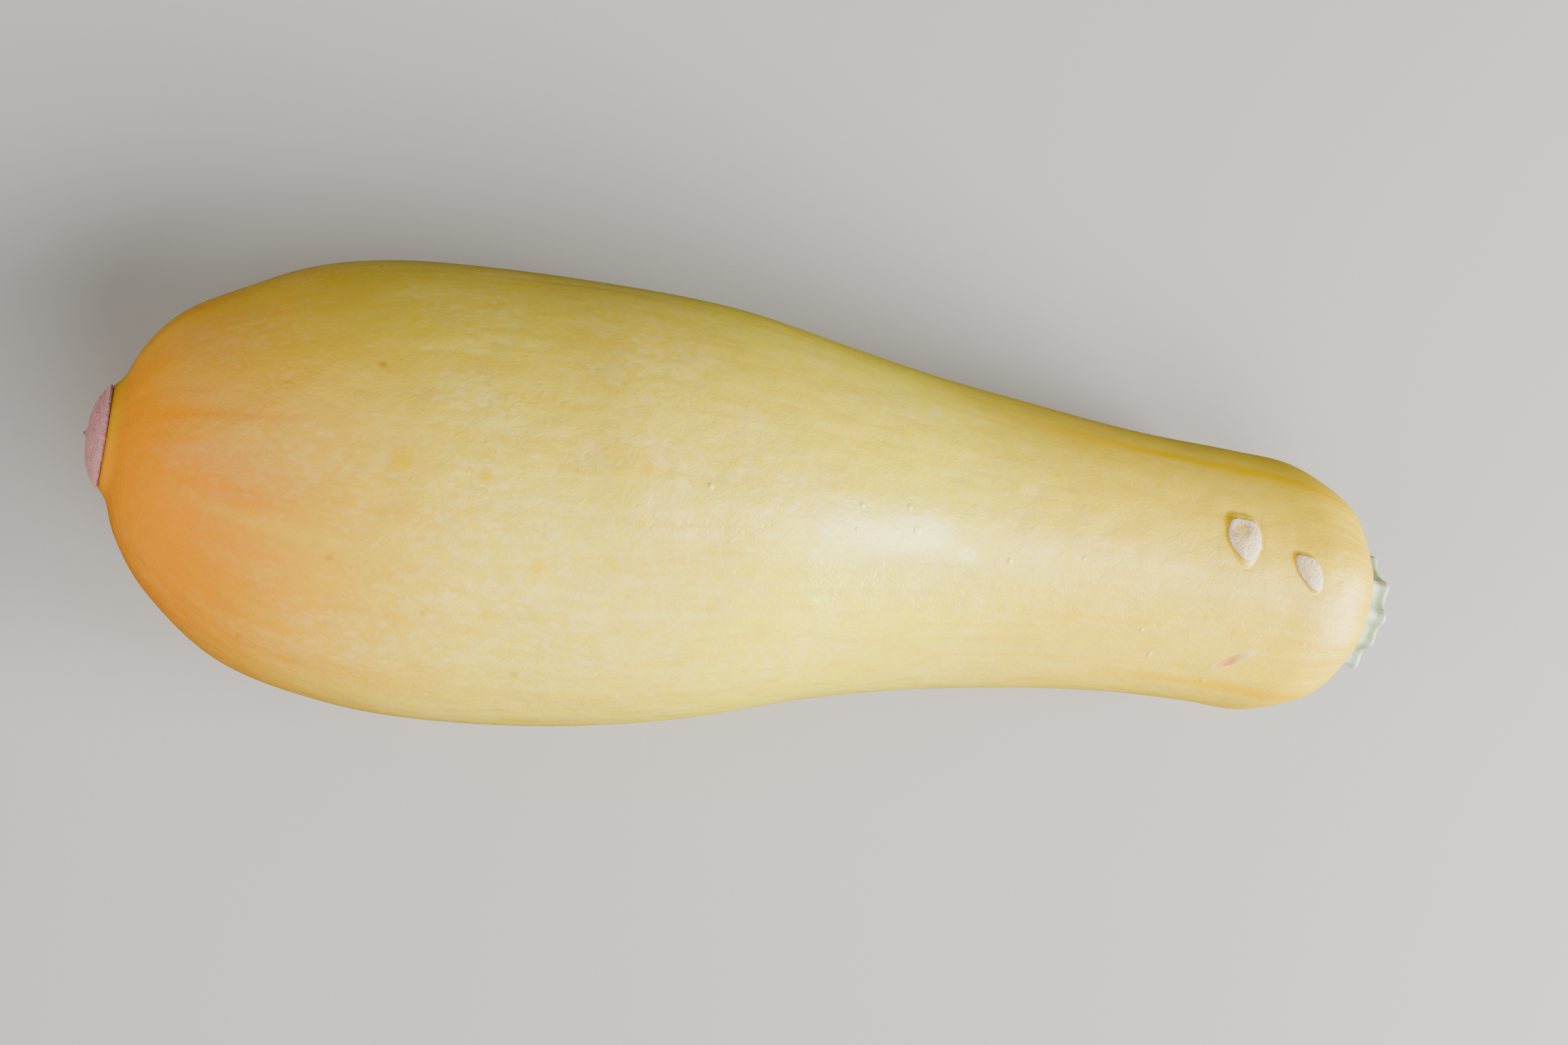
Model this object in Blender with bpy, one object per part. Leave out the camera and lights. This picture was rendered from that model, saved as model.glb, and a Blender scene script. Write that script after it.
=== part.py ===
"""A yellow straightneck squash, picked and lying on its side.

Three pieces: the fruit, the corky scar where the flower fell off, and the cut stub of the
stem. Metres, +Z up, +X from the blossom end to the stem. The origin is under the middle of
the squash, on the surface that it lies on.
"""

import math

import bmesh
import bpy
import numpy as np

MM = 0.001
# Gap between touching pieces, in mm
GAP = 0.3

# Skin: (distance from the blossom end, radius) in mm, from the blossom scar to the stem
SKIN_PROFILE = (
    (0.0, 6.4),
    (1.0, 7.6),
    (2.6, 11.5),
    (6.0, 16.4),
    (11.5, 20.8),
    (19.5, 25.5),
    (31.5, 28.5),
    (46.5, 29.6),
    (62.0, 29.5),
    (78.0, 28.0),
    (95.0, 24.8),
    (112.0, 22.1),
    (130.0, 20.4),
    (146.0, 19.4),
    (160.0, 19.2),
    (170.0, 19.1),
    (176.6, 17.0),
    (181.1, 13.2),
    (182.7, 10.3),
)
FRUIT_LENGTH = SKIN_PROFILE[-1][0]

# Centre line: (distance, offset to the left) in mm, seen from above, looking at the stem
BEND = (
    (0, 0.0),
    (8, -0.3),
    (25, -1.5),
    (55, -1.0),
    (90, 0.9),
    (120, 1.2),
    (155, 0.7),
    (171, -0.3),
    (183, -1.4),
)
BLOSSOM_DROOP = 3.0
HEADING_REACH = 3.0

# It rests on belly and neck, pressed flat there by this much with soft edges, in mm
BELLY_AT, NECK_AT = 60.0, 165.0
PRESSED, FLAT_EDGE = 0.5, 0.4

# Relief of the skin, in mm
RIB_COUNT, RIB_HEIGHT, RIB_REACH = 10, 0.35, 34.0
LUMP_HEIGHT, LUMP_WAVES, LUMP_SEED = 0.15, 7, 5
LUMP_LOBES, LUMP_LENGTH = (1, 5), (35.0, 90.0)
SMOOTH_END = 6.0
DENT_AT, DENT_ANGLE, DENT_DEPTH, DENT_LENGTH, DENT_WIDTH = 52.0, 70.0, 0.35, 5.0, 16.0
# Healed scars: (distance, angle in degrees from the left side over the top, half length along,
# half width round, height)
HEALED_SCARS = (
    (153.2, 71.5, 2.3, 3.7, 0.75),
    (164.6, 80.5, 1.9, 2.8, 0.65),
    (157.0, 126.0, 3.1, 1.1, 0.25),
)

# Stem stub: (distance from its foot, radius, ridge height) in mm, foot to cut face, then its
# ridges: (angle in degrees from the left side over the top, share of the ridge height)
STEM_PROFILE = (
    (0.0, 9.4, 0.4),
    (0.5, 9.3, 0.6),
    (1.8, 8.3, 0.8),
    (3.2, 7.9, 1.0),
    (4.4, 8.1, 1.2),
    (4.9, 7.9, 1.1),
    (5.0, 7.2, 0.6),
    (4.5, 3.8, 0.0),
)
STEM_CENTRE = 4.2
STEM_RIDGES = (
    (61, 1.1),
    (93, 0.9),
    (123, 0.7),
    (152, 1.7),
    (189, 1.0),
    (228, 1.2),
    (267, 0.8),
    (306, 1.2),
    (344, 0.8),
    (382, 1.1),
)
RIDGE_WIDTH = 9.0

# Blossom scar: a low dome with a nub where the flower's style stood, in mm
SCAR_RADIUS, SCAR_BULGE, SCAR_RIM = 6.4, 2.25, 0.45
DOME_FLATNESS, DOME_SHOULDER = 3.0, 1.1
NUB_RADIUS, NUB_HEIGHT = 0.9, 0.3
SCAR_RINGS, INNERMOST_RING = 6, 0.12

# Fineness of the rings, in mm between them and points to a ring
RING_STEP, FINE_RING_STEP, FINE_REACH = 4.0, 1.7, 25.0
SCARRED_NECK = (149.0, 170.0)
FRUIT_POINTS, STEM_POINTS, SCAR_POINTS = 60, 60, 36

# Colour and roughness of each material
FINISHES = {
    "skin": ((0.70, 0.55, 0.20, 1.0), 0.38),
    "stem": ((0.52, 0.58, 0.34, 1.0), 0.6),
    "cork": ((0.45, 0.26, 0.22, 1.0), 0.85),
}
SHARP_EDGE = math.radians(40)


def clear_scene():
    for obj in list(bpy.data.objects):
        bpy.data.objects.remove(obj, do_unlink=True)


def curve_through(points, steps):
    """Points on a smooth curve through the given ones: cubic stretches that share their slopes."""
    given = np.array(points, float)
    beyond = 2 * given[[0, -1]] - given[[1, -2]]
    held = np.vstack([beyond[:1], given, beyond[1:]])
    span = np.linalg.norm(np.diff(held, axis=0), axis=1, keepdims=True) ** 0.5
    rate = np.diff(held, axis=0) / span
    slope = (rate[:-1] * span[1:] + rate[1:] * span[:-1]) / (span[:-1] + span[1:])
    leaving, arriving = slope[:-1] * span[1:-1], slope[1:] * span[1:-1]
    t = np.linspace(0, 1, steps, endpoint=False)[:, None, None]
    curve = (2 * t**3 - 3 * t**2 + 1) * given[:-1] + (3 * t**2 - 2 * t**3) * given[1:]
    curve = curve + (t**3 - 2 * t**2 + t) * leaving + (t**3 - t**2) * arriving
    return np.vstack([curve.swapaxes(0, 1).reshape(-1, given.shape[1]), given[-1:]])


SKIN_CURVE = curve_through(SKIN_PROFILE, 24)
BEND_CURVE = curve_through(BEND, 12)


def ring_places():
    """(distance, radius) of each ring of the fruit, closer together at both ends and the scars."""
    middle = 0.5 * (SKIN_CURVE[1:, 0] + SKIN_CURVE[:-1, 0])
    from_end = np.minimum(middle, FRUIT_LENGTH - middle)
    step = FINE_RING_STEP + (RING_STEP - FINE_RING_STEP) * np.clip(from_end / FINE_REACH, 0, 1)
    step[(middle > SCARRED_NECK[0]) & (middle < SCARRED_NECK[1])] = FINE_RING_STEP
    stretch = np.linalg.norm(np.diff(SKIN_CURVE, axis=0), axis=1)
    count = np.concatenate([[0], np.cumsum(stretch / step)])
    wanted = np.linspace(0, count[-1], round(count[-1]) + 1)
    return np.stack([np.interp(wanted, count, SKIN_CURVE[:, k]) for k in (0, 1)], axis=-1)


def centre_line(along):
    """The centre line's point at each distance, so high that belly and neck both touch down."""
    along = np.asarray(along, float)
    rests = np.array([BELLY_AT, NECK_AT])
    heights = np.interp(rests, SKIN_CURVE[:, 0], SKIN_CURVE[:, 1]) - PRESSED
    height = heights[0] + (along - BELLY_AT) * (heights[1] - heights[0]) / (NECK_AT - BELLY_AT)
    height -= BLOSSOM_DROOP * np.clip(1 - along / BELLY_AT, 0, None) ** 2
    sideways = np.interp(along, BEND_CURVE[:, 0], BEND_CURVE[:, 1])
    return np.stack([along, sideways, height], axis=-1)


def cross_axes(along):
    """Unit vectors to the left, up and onwards at each distance, square to one another."""
    ahead = np.clip(np.asarray(along, float) + HEADING_REACH, None, FRUIT_LENGTH)
    behind = np.clip(np.asarray(along, float) - HEADING_REACH, 0, None)
    heading = centre_line(ahead) - centre_line(behind)
    heading /= np.linalg.norm(heading, axis=-1, keepdims=True)
    left = np.cross([0.0, 0.0, 1.0], heading)
    left /= np.linalg.norm(left, axis=-1, keepdims=True)
    return left, np.cross(heading, left), heading


def relief(along, radius, angle):
    """How far the skin stands out from its smooth profile, in mm."""
    inside = np.clip(np.minimum(along, FRUIT_LENGTH - along) / SMOOTH_END, 0, 1)
    near_stem = np.clip(1 - (FRUIT_LENGTH - along) / RIB_REACH, 0, 1)
    height = RIB_HEIGHT * near_stem**2 * np.cos(RIB_COUNT * angle)
    draw = np.random.default_rng(LUMP_SEED)
    for _ in range(LUMP_WAVES):
        lobes = draw.integers(*LUMP_LOBES)
        length = draw.uniform(*LUMP_LENGTH)
        shift, turn = draw.uniform(0, 2 * math.pi, 2)
        wave = np.cos(lobes * angle + turn) * np.cos(2 * math.pi * along / length + shift)
        height = height + LUMP_HEIGHT / math.sqrt(LUMP_WAVES) * wave
    around = radius * (angle - math.radians(DENT_ANGLE))
    dent = ((along - DENT_AT) / DENT_LENGTH) ** 2 + (around / DENT_WIDTH) ** 2
    height = height - DENT_DEPTH * np.exp(-dent)
    for place, degrees, half_length, half_width, scar_height in HEALED_SCARS:
        around = radius * (angle - math.radians(degrees))
        inner = ((along - place) / half_length) ** 2 + (around / half_width) ** 2
        height = height + scar_height * np.exp(-(inner**2))
    return height * inside


def pressed_flat(height):
    """The height with everything below the surface raised to it, blended over FLAT_EDGE."""
    blend = (height + FLAT_EDGE) ** 2 / (4 * FLAT_EDGE)
    return np.where(height > FLAT_EDGE, height, np.where(height < -FLAT_EDGE, 0.0, blend))


def fruit_rings():
    places = ring_places()
    along, radius = places[:, :1], places[:, 1:]
    angle = np.linspace(0, 2 * math.pi, FRUIT_POINTS, endpoint=False)[None, :]
    reach = (radius + relief(along, radius, angle))[..., None]
    left, up, _ = cross_axes(places[:, 0])
    across = np.cos(angle)[..., None] * left[:, None] + np.sin(angle)[..., None] * up[:, None]
    points = centre_line(places[:, 0])[:, None] + reach * across
    points[..., 2] = pressed_flat(points[..., 2])
    return points


def end_frame(along, outwards):
    """The centre, left, up and outward directions of the fruit's end at this distance."""
    left, up, heading = cross_axes([along])
    return centre_line([along])[0], left[0], up[0], outwards * heading[0]


def ring_on(frame, distance, reach, angle):
    """A ring of points round an end of the fruit, this far out from it and this far from its axis."""
    centre, left, up, out = frame
    across = np.cos(angle)[:, None] * left + np.sin(angle)[:, None] * up
    return centre + out * distance + reach[:, None] * across


def stem_rings(frame):
    angle = np.linspace(0, 2 * math.pi, STEM_POINTS, endpoint=False)
    ridges = np.zeros_like(angle)
    for degrees, share in STEM_RIDGES:
        away = np.angle(np.exp(1j * (angle - math.radians(degrees))))
        ridges += share * np.exp(-((np.degrees(away) / RIDGE_WIDTH) ** 2))
    return [ring_on(frame, GAP + out, radius + rise * ridges, angle) for out, radius, rise in STEM_PROFILE]


def scar_rings(frame):
    angle = np.linspace(0, 2 * math.pi, SCAR_POINTS, endpoint=False)
    whole = np.full_like(angle, SCAR_RADIUS)
    rings = [ring_on(frame, GAP, whole, angle)]
    for part in np.linspace(1.0, INNERMOST_RING, SCAR_RINGS):
        dome = (SCAR_BULGE - SCAR_RIM) * (1 - part**DOME_FLATNESS) ** DOME_SHOULDER
        nub = NUB_HEIGHT * math.exp(-((part * SCAR_RADIUS / NUB_RADIUS) ** 2))
        rings.append(ring_on(frame, SCAR_RIM + dome + nub, part * whole, angle))
    return rings


def closed_body(name, finish, rings, pole=None):
    """One closed mesh from a stack of rings: a flat face on the first, a point or face on the last."""
    build = bmesh.new()
    rows = [[build.verts.new(point * MM) for point in ring] for ring in rings]
    for below, above in zip(rows, rows[1:]):
        for i in range(len(below)):
            build.faces.new((below[i - 1], below[i], above[i], above[i - 1]))
    build.faces.new(rows[0])
    if pole is None:
        build.faces.new(rows[-1])
    else:
        tip = build.verts.new(pole * MM)
        for near, far in zip(rows[-1], rows[-1][1:] + rows[-1][:1]):
            build.faces.new((near, far, tip))
    bmesh.ops.triangulate(build, faces=build.faces)
    bmesh.ops.recalc_face_normals(build, faces=build.faces)
    mesh = bpy.data.meshes.new(name)
    build.to_mesh(mesh)
    build.free()
    mesh.materials.append(material(finish))
    mesh.shade_smooth()
    mesh.set_sharp_from_angle(angle=SHARP_EDGE)
    body = bpy.data.objects.new(name, mesh)
    bpy.context.collection.objects.link(body)
    return body


def material(name):
    colour, roughness = FINISHES[name]
    made = bpy.data.materials.new(name)
    made.use_nodes = True
    shader = made.node_tree.nodes["Principled BSDF"]
    shader.inputs["Base Color"].default_value = colour
    shader.inputs["Roughness"].default_value = roughness
    shader.inputs["Metallic"].default_value = 0.0
    return made


def centre_on_origin(bodies):
    """Parents the bodies to an empty placed so that the whole squash stands over the origin."""
    corners = np.array([corner for body in bodies for corner in body.bound_box])
    middle = 0.5 * (corners.min(axis=0) + corners.max(axis=0))
    base = bpy.data.objects.new("squash_base", None)
    bpy.context.collection.objects.link(base)
    base.location = (-middle[0], -middle[1], -corners[:, 2].min())
    for body in bodies:
        body.parent = base


def main():
    clear_scene()
    stem_end, blossom_end = end_frame(FRUIT_LENGTH, 1), end_frame(0.0, -1)
    cut_centre = stem_end[0] + (GAP + STEM_CENTRE) * stem_end[3]
    nub_tip = blossom_end[0] + (SCAR_BULGE + NUB_HEIGHT) * blossom_end[3]
    fruit = closed_body("fruit", "skin", fruit_rings())
    stem = closed_body("stem_stub", "stem", stem_rings(stem_end), cut_centre)
    scar = closed_body("blossom_scar", "cork", scar_rings(blossom_end), nub_tip)
    centre_on_origin([fruit, stem, scar])


main()
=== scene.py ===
"""The looks of a yellow straightneck squash that lies on a pale floor.

Three finer pieces stand for the three solids of the frame: the fruit, the cut stub of the stem
and the corky scar where the flower fell off. Each shape is a formula on a grid, in millimetres
from the blossom end, and BLOSSOM_END moves it to its place in the frame. The finishes are
painted in each piece's own coordinates, so that streaks and flecks follow the skin.
"""

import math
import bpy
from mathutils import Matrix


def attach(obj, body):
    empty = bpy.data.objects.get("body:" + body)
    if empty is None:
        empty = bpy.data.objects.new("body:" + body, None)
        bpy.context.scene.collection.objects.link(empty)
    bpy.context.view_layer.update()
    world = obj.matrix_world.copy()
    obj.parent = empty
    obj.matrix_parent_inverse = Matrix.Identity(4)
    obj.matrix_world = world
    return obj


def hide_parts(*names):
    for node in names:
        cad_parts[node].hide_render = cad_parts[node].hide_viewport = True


bl_info = {
    "name": "Yellow squash",
    "version": (1, 0, 0),
    "blender": (4, 5, 0),
    "location": "3D View > Sidebar > Squash",
    "description": "Builds a yellow squash with its skin, stem stub and blossom scar",
    "category": "Add Mesh",
}

import bpy
import numpy as np
from bpy.props import FloatProperty, FloatVectorProperty, IntProperty, PointerProperty
from mathutils import Matrix, Vector

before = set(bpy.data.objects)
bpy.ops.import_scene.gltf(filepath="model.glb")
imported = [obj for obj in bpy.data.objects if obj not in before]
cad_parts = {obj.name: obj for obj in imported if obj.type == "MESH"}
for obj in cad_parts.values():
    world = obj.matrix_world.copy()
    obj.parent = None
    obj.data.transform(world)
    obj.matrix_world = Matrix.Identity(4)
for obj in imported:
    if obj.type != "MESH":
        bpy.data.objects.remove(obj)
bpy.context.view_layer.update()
BODY = "root"

MM = 0.001
# Where the middle of the blossom end lies in the frame, in mm
BLOSSOM_END = (-93.247, 1.193, 0.0)

# Skin: (distance from the blossom end, radius) in mm, from the blossom scar to the stem
SKIN_PROFILE = (
    (0.0, 6.4),
    (1.0, 7.6),
    (2.6, 11.5),
    (6.0, 16.4),
    (11.5, 20.8),
    (19.5, 25.5),
    (31.5, 28.5),
    (46.5, 29.6),
    (62.0, 29.5),
    (78.0, 28.0),
    (95.0, 24.8),
    (112.0, 22.1),
    (130.0, 20.4),
    (146.0, 19.4),
    (160.0, 19.2),
    (170.0, 19.1),
    (176.6, 17.0),
    (181.1, 13.2),
    (182.7, 10.3),
)
FRUIT_LENGTH = SKIN_PROFILE[-1][0]
# How the skin closes, hollow under the cork and raised under the stem: (how far in from the
# blossom end or out past the stem end in mm, share of radius)
UNDER_CORK = ((0.15, 0.93), (0.35, 0.85), (0.45, 0.6), (0.45, 0.3))
UNDER_STEM = ((0.25, 0.95), (0.3, 0.88), (0.2, 0.6), (0.2, 0.3))

# Centre line: (distance, offset to the left) in mm, seen from above, looking at the stem
BEND = (
    (0, 0.0),
    (8, -0.3),
    (25, -1.5),
    (55, -1.0),
    (90, 0.9),
    (120, 1.2),
    (155, 0.7),
    (171, -0.3),
    (183, -1.4),
)
BLOSSOM_DROOP = 3.0
HEADING_REACH = 3.0
# It rests on belly and neck, pressed flat there by this much with soft edges, in mm
BELLY_AT, NECK_AT = 60.0, 165.0
PRESSED, FLAT_EDGE = 0.5, 0.4

# Rings of points: their steps in shares of the ring step, near the ends and at the scabs, and how
# they crowd together round the line that shows the most
END_STEP, END_ZONE, SCAB_STEP, SCAB_ZONE = 0.6, 25.0, 0.45, (148.5, 169.0)
CROWDED_AT, CROWDING = 95, 0.35

# Relief of the skin, in mm: ribs, seeded lumps and how far from its ends the relief fades
RIB_COUNT, RIB_REACH = 10, 34.0
LUMP_WAVES, LUMP_SEED = 7, 5
LUMP_LOBES, LUMP_LENGTH = (1, 5), (35.0, 90.0)
SMOOTH_END = 6.0
# Shallow dent in the belly: distance, degrees, depth, length along and width round
DENT_AT, DENT_ANGLE, DENT_DEPTH, DENT_LENGTH, DENT_WIDTH = 52.0, 70.0, 0.35, 5.0, 16.0

# Healed scabs on the neck, shaped like a shield whose tip points down the side: distance along,
# degrees from the left side over the top, half length along, half width round, lean of the tip
# and height, in mm
SCABS = (
    (153.4, 71.9, 2.8, 3.95, 0.3, 0.7),
    (164.9, 80.7, 2.1, 2.75, 1.4, 0.6),
)
SCAB_TAPER, SCAB_ROUNDING = 1.7, 0.6
# Shallow pit in the first scab: offset along and round, radius along and round, depth
SCAB_PIT = (-0.7, -1.5, 1.25, 1.35, 0.22)
# The skin dips where it meets a scab: depth in mm, width in shares of the scab's size
MOAT_DEPTH, MOAT_WIDTH = 0.12, 0.25
# Old scratch: distance and degrees of its middle, half length, half width, slant and height, and
# how deep it is in shares of the height of its edges
SCRATCH = (156.7, 126.2, 2.6, 0.9, 0.66, 0.22)
SCRATCH_DEPTH = 1.6
# Low swell on the belly that catches the light: distance along, degrees, height, length, width
SWELL = (56.0, 72.0, 0.5, 9.0, 24.0)

# Stem stub: (distance from its foot, radius, ridge height) in mm, foot to cut face, then its
# ridges: (angle in degrees from the left side over the top, share of the ridge height)
STEM_PROFILE = (
    (-0.5, 9.0, 0.2),
    (0.0, 9.4, 0.4),
    (0.5, 9.3, 0.6),
    (1.8, 8.3, 0.8),
    (3.2, 7.9, 1.0),
    (4.4, 8.1, 1.2),
    (4.9, 7.9, 1.1),
    (5.0, 7.2, 0.6),
    (4.5, 3.8, 0.0),
    (4.2, 0.4, 0.0),
)
STEM_FOOT = 0.3
STEM_RIDGES = (
    (61, 1.1),
    (93, 0.9),
    (123, 0.7),
    (152, 1.7),
    (189, 1.0),
    (228, 1.2),
    (267, 0.8),
    (306, 1.2),
    (344, 0.8),
    (382, 1.1),
)
RIDGE_WIDTH = 9.0
# The cut face starts at this station of the profile
CUT_EDGE_STATION = 6.2
BUNDLE_RING = 5.6

# Blossom scar: a low dome of cork with a nub where the flower's style stood, in mm
SCAR_RADIUS, SCAR_BULGE, SCAR_RIM = 6.4, 2.25, 0.45
DOME_FLATNESS, DOME_SHOULDER = 3.0, 1.1
NUB_RADIUS, NUB_HEIGHT = 0.8, 0.15

# How the rim closes towards the fruit: (height, share of radius), outermost last
RIM_RINGS = ((-0.2, 0.9), (0.2, 1.0))

# The dry thread that is left of the style and the fibres of the cork, in mm: seeded waves outwards
# with a few lobes round each, and many at the ragged rim
THREAD_RADIUS, THREAD_HEIGHT = 0.22, 0.45
FIBRE_WAVES, FIBRE_HEIGHT, FIBRE_SPACING, FIBRE_LOBES = 9, 0.05, (0.35, 0.8), (1, 5)
RAGGED, RAGGED_LOBES = 0.1, (9, 60)
CORK_SEED = 11

# Marks on the skin: distance from the blossom end in mm, degrees round from the left side over
# the top, and radius in mm
BROWN_SPECKS = (
    (28.1, 58.3, 0.5),
    (25.1, 108.3, 0.4),
    (36.0, 118.4, 0.35),
    (48.3, 134.4, 0.5),
    (18.8, 143.2, 0.4),
    (62.1, 203.0, 0.45),
    (118.4, 318.0, 0.4),
    (91.0, 251.0, 0.5),
    (131.0, 172.0, 0.35),
)
YELLOW_SPOTS = (
    (31.0, 81.9, 1.2),
    (55.3, 60.2, 0.6),
    (59.4, 78.4, 0.6),
    (40.5, 84.0, 0.8),
    (47.6, 103.0, 0.9),
    (122.0, 60.0, 0.6),
    (74.0, 231.0, 1.1),
    (139.0, 290.0, 0.9),
    (101.0, 190.0, 0.8),
)
# Pimples: raised, with a cream colour that is partly a painted glint
PIMPLES = (
    (89.9, 82.5, 0.3),
    (97.3, 81.1, 0.3),
    (98.7, 88.2, 0.42),
    (67.9, 81.4, 0.3),
    (89.3, 89.5, 0.22),
    (114.1, 94.4, 0.32),
    (126.2, 90.2, 0.25),
    (139.1, 117.0, 0.25),
    (142.5, 128.6, 0.35),
    (154.9, 141.8, 0.35),
    (80.0, 214.0, 0.35),
    (120.0, 262.0, 0.3),
    (108.0, 331.0, 0.35),
)
# Glossy spots where the skin shines most: smoother, with a cream colour that is a painted
# highlight
GLOSS_AND_PAINTED_HIGHLIGHT_SPOTS = (
    (84.2, 98.4, 1.5),
    (92.0, 95.5, 3.0),
    (107.1, 96.0, 1.6),
    (98.5, 91.5, 5.5),
    (88.0, 89.0, 3.5),
)
# Golden streaks on the neck: degrees round, how far they turn near the stem in mm, and where
# they start and are full, in mm from the blossom end
GOLD_STREAKS = ((34, 1.5, 104, 146), (143, 0.5, 124, 152), (262, -2.0, 112, 160))

# Lines along the fruit from which the skin's colours spread, in degrees round. The paling and
# thicker flecks on the lit side are partly painted light, the lesser paling on the upper side is
# painted shade, and the tan patch in the blush is a painted reflection
PAINTED_LIGHT_LINE, PAINTED_SHADE_LINE, MILKY_PAINTED_SHEEN_LINE, FLECKED_PAINTED_SHEEN_LINE, GRAIN_LINE = 118, 60, 116, 105, 108
BLUSH_LINE, NEAR_LINE, PAINTED_REFLECTION_LINE, RAY_LINE, GREEN_LINE = 130, 140, 58, 98, 55
# Stretches of the fruit that they fill, in mm from the blossom end: where each starts to show and
# where it is full
# The extra paling on the lit near side is painted light
PALE_START, PALE_END, PAINTED_LIGHT_END = (56.0, 80.0), (134.0, 98.0), (150.0, 90.0)
# The lesser paling on the upper side, away from the light, is painted shade
LEMON_END, PAINTED_SHADE_END = (22.0, 42.0), (104.0, 84.0)
NECK, WARM_END, NEAR_STEM = (96.0, 130.0), (148.0, 178.0), (158.0, 178.0)
BLUSH_FRONT, AMBER_FRONT = (25.0, 2.0), (45.0, 15.0)
# The tan patch in the blush is a painted reflection
PAINTED_REFLECTION_START, RAY_START, RAY_END = (3.0, 8.0), (3.0, 6.0), (27.0, 12.0)
# The thicker flecks on the lit milky side are partly a painted sheen
MILKY_PAINTED_SHEEN_START, MILKY_PAINTED_SHEEN_END = (20.0, 40.0), (84.0, 60.0)
STREAKS_TURN, STREAKS_END = (160.0, 173.0), (178.0, 170.0)
# The last stretch is the dark rim at the cork: painted shade in the crease
GREEN_RIM, PAINTED_CORK_SHADE = (1.9, 0.3), (0.5, 0.1)
# The radius in mm at which a lane is as wide as it says, and what keeps a mark that is painted by
# its distance round off the other side of the fruit
LANE_RADIUS, OTHER_SIDE = 25.0, 40.0
# Fine relief that only the bump shows, in mm: grain and ripple all round, and more of them on top
GRAIN, GRAIN_ON_TOP, RIPPLE, RIPPLE_ON_TOP = 0.012, 0.08, 0.1, 0.2
LANE_RELIEF, PIMPLE_RELIEF, LINE_RELIEF, CRUST_RELIEF = 0.01, 0.14, 0.14, 0.3

# Camera, as the photograph was taken: where it looks in mm from the blossom end, how far off it
# is, and its tilt from straight down, its turn about its own axis and its heading in degrees
LOOKS_AT = (91.12, 0.19, 24.0)
CAMERA_DISTANCE, CAMERA_TILT, CAMERA_ROLL, CAMERA_HEADING = 304.0, 18.13, 11.6, -3.9
CAMERA_LENS, CAMERA_SENSOR = 50.0, 36.0

# Soft lights: name, azimuth from the stem's direction and elevation in degrees, width and height
# in m, and whether the gloss shows them
SOFTBOXES = (
    ("window", -11, 15, 0.7, 0.4, True),
    ("side", -66, 57, 0.7, 0.7, False),
    ("glint", -2, 44, 0.42, 0.2, True),
    ("top", 130, 50, 0.8, 0.8, True),
    ("far", -158, 30, 1.2, 1.2, False),
)


def curve_through(points, steps):
    """Points on a smooth curve through the given ones: cubic stretches that share their slopes."""
    given = np.array(points, float)
    beyond = 2 * given[[0, -1]] - given[[1, -2]]
    held = np.vstack([beyond[:1], given, beyond[1:]])
    span = np.linalg.norm(np.diff(held, axis=0), axis=1, keepdims=True) ** 0.5
    rate = np.diff(held, axis=0) / span
    slope = (rate[:-1] * span[1:] + rate[1:] * span[:-1]) / (span[:-1] + span[1:])
    leaving, arriving = slope[:-1] * span[1:-1], slope[1:] * span[1:-1]
    t = np.linspace(0, 1, steps, endpoint=False)[:, None, None]
    curve = (2 * t**3 - 3 * t**2 + 1) * given[:-1] + (3 * t**2 - 2 * t**3) * given[1:]
    curve = curve + (t**3 - 2 * t**2 + t) * leaving + (t**3 - t**2) * arriving
    return np.vstack([curve.swapaxes(0, 1).reshape(-1, given.shape[1]), given[-1:]])


SKIN_CURVE = curve_through(SKIN_PROFILE, 60)
BEND_CURVE = curve_through(BEND, 24)


def radius_at(along):
    """The smooth radius of the fruit at each distance, in mm."""
    return np.interp(along, SKIN_CURVE[:, 0], SKIN_CURVE[:, 1])


def centre_line(along):
    """The centre line's point at each distance, so high that belly and neck both touch down."""
    along = np.asarray(along, float)
    rests = np.array([BELLY_AT, NECK_AT])
    heights = radius_at(rests) - PRESSED
    height = heights[0] + (along - BELLY_AT) * (heights[1] - heights[0]) / (NECK_AT - BELLY_AT)
    height = height - BLOSSOM_DROOP * np.clip(1 - along / BELLY_AT, 0, None) ** 2
    sideways = np.interp(along, BEND_CURVE[:, 0], BEND_CURVE[:, 1])
    return np.stack([along, sideways, height], axis=-1)


def cross_axes(along):
    """Unit vectors to the left, up and onwards at each distance, square to one another."""
    ahead = np.clip(np.asarray(along, float) + HEADING_REACH, None, FRUIT_LENGTH)
    behind = np.clip(np.asarray(along, float) - HEADING_REACH, 0, None)
    heading = centre_line(ahead) - centre_line(behind)
    heading /= np.linalg.norm(heading, axis=-1, keepdims=True)
    left = np.cross([0.0, 0.0, 1.0], heading)
    left /= np.linalg.norm(left, axis=-1, keepdims=True)
    return left, np.cross(heading, left), heading


def end_frame(along, outwards):
    """The centre, left, up and outward directions of the fruit's end at this distance."""
    left, up, heading = cross_axes([along])
    return centre_line([along])[0], left[0], up[0], outwards * heading[0]


def angles(count, crowded_at=0.0, crowding=0.0):
    """Angles round a ring, closer near crowded_at: v = t - crowding * sin(t - crowded_at)."""
    t = np.linspace(0, 2 * math.pi, count, endpoint=False)
    return t - crowding * np.sin(t - crowded_at)


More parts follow.
